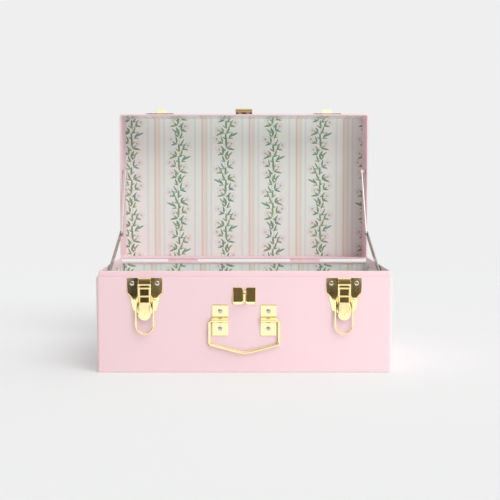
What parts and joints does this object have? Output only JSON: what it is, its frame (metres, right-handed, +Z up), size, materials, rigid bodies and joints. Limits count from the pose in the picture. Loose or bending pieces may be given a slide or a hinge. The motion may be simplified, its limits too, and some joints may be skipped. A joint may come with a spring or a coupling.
{
  "type": "lidded storage trunk box",
  "caption": "Small lidded sheet-steel storage trunk with lined interior, draw latches, hasp and staple, drop handle and folding lid stays.",
  "frame": {"origin": "centre of the flat underside of the base tray", "axes": "+X along the length, to the right when facing the latches; +Y to the hinged back; +Z up"},
  "size_m": [0.36, 0.2874, 0.3378],
  "materials": {
    "pink_paint": "smooth satin powder coat",
    "brass": "polished bright brass plate",
    "steel": "plain domed pop rivets",
    "stay_steel": "dull nickel plate",
    "lining_paper": "matt printed lining paper"
  },
  "bodies": {
    "base": {"base_shell": "pink_paint", "base_lip": "pink_paint", "base_lining_floor": "lining_paper", "base_lining_front": "lining_paper", "base_lining_back": "lining_paper", "base_lining_left": "lining_paper", "base_lining_right": "lining_paper", "hinge_rivets_base": "pink_paint", "hasp_staple": "brass", "hinge_base_leaf_left": "pink_paint", "hinge_pin_left": "steel", "latch_plate_left": "brass", "latch_pin_left": "brass", "latch_rivets_left": "steel", "handle_strap_left": "brass", "handle_rivets_left": "steel", "stay_base_pivot_left": "stay_steel", "hinge_base_leaf_right": "pink_paint", "hinge_pin_right": "steel", "latch_plate_right": "brass", "latch_pin_right": "brass", "latch_rivets_right": "steel", "handle_strap_right": "brass", "handle_rivets_right": "steel", "stay_base_pivot_right": "stay_steel"},
    "lid": {"lid_shell": "pink_paint", "lid_lining_top": "lining_paper", "lid_lining_front": "lining_paper", "hinge_rivets_lid": "pink_paint", "hasp_leaf": "brass", "hasp_pin": "brass", "hasp_rivets": "steel", "hinge_lid_leaf_left": "pink_paint", "latch_keeper_left": "brass", "keeper_rivets_left": "steel", "stay_lid_pivot_left": "stay_steel", "hinge_lid_leaf_right": "pink_paint", "latch_keeper_right": "brass", "keeper_rivets_right": "steel", "stay_lid_pivot_right": "stay_steel"},
    "latch_lever_left": {"latch_lever_left": "brass"},
    "latch_bail_left": {"latch_bail_left": "brass"},
    "stay_lower_left": {"stay_lower_link_left": "stay_steel", "stay_elbow_tail_left": "stay_steel"},
    "stay_upper_left": {"stay_upper_link_left": "stay_steel", "stay_elbow_cap_left": "stay_steel"},
    "latch_lever_right": {"latch_lever_right": "brass"},
    "latch_bail_right": {"latch_bail_right": "brass"},
    "stay_lower_right": {"stay_lower_link_right": "stay_steel", "stay_elbow_tail_right": "stay_steel"},
    "stay_upper_right": {"stay_upper_link_right": "stay_steel", "stay_elbow_cap_right": "stay_steel"},
    "carry_handle": {"carry_handle": "brass"},
    "hasp_flap": {"hasp_flap": "brass"}
  },
  "joints": [
    {"name": "lid_hinge", "type": "hinge", "parent": "base", "child": "lid", "pos_m": [0, 0.108, 0.1171], "axis": [1, 0, 0], "range_deg": [0, 91.7]},
    {"name": "latch_lever_pivot_left", "type": "hinge", "parent": "base", "child": "latch_lever_left", "pos_m": [-0.1206, -0.1094, 0.104], "axis": [-1, 0, 0], "range_deg": [0, 120]},
    {"name": "latch_bail_pivot_left", "type": "hinge", "parent": "latch_lever_left", "child": "latch_bail_left", "pos_m": [-0.1206, -0.1092, 0.0942], "axis": [1, 0, 0], "range_deg": [-180, 4]},
    {"name": "stay_lower_pivot_left", "type": "hinge", "parent": "base", "child": "stay_lower_left", "pos_m": [-0.17425, -0.0654, 0.1033], "axis": [1, 0, 0], "range_deg": [-7.6, 0]},
    {"name": "stay_upper_pivot_left", "type": "hinge", "parent": "lid", "child": "stay_upper_left", "pos_m": [-0.17245, 0.12688, 0.2476], "axis": [1, 0, 0], "range_deg": [0, 33.8]},
    {"name": "latch_lever_pivot_right", "type": "hinge", "parent": "base", "child": "latch_lever_right", "pos_m": [0.1206, -0.1094, 0.104], "axis": [-1, 0, 0], "range_deg": [0, 120]},
    {"name": "latch_bail_pivot_right", "type": "hinge", "parent": "latch_lever_right", "child": "latch_bail_right", "pos_m": [0.1206, -0.1092, 0.0942], "axis": [1, 0, 0], "range_deg": [-180, 4]},
    {"name": "stay_lower_pivot_right", "type": "hinge", "parent": "base", "child": "stay_lower_right", "pos_m": [0.17425, -0.0654, 0.1033], "axis": [1, 0, 0], "range_deg": [-7.6, 0]},
    {"name": "stay_upper_pivot_right", "type": "hinge", "parent": "lid", "child": "stay_upper_right", "pos_m": [0.17245, 0.12688, 0.2476], "axis": [1, 0, 0], "range_deg": [0, 33.8]},
    {"name": "carry_handle_pivot", "type": "hinge", "parent": "base", "child": "carry_handle", "pos_m": [0, -0.1076, 0.0646], "axis": [-1, 0, 0], "range_deg": [0, 100]},
    {"name": "hasp_flap_hinge", "type": "hinge", "parent": "lid", "child": "hasp_flap", "pos_m": [0, 0.11767, 0.33491], "axis": [-1, 0, 0], "range_deg": [-180, 0]}
  ],
  "couplings": [
    {"joint": "stay_lower_pivot_left", "follows": "lid_hinge", "ratio": -0.0818},
    {"joint": "stay_upper_pivot_left", "follows": "lid_hinge", "ratio": 0.36721},
    {"joint": "stay_lower_pivot_right", "follows": "lid_hinge", "ratio": -0.0818},
    {"joint": "stay_upper_pivot_right", "follows": "lid_hinge", "ratio": 0.36721}
  ]
}
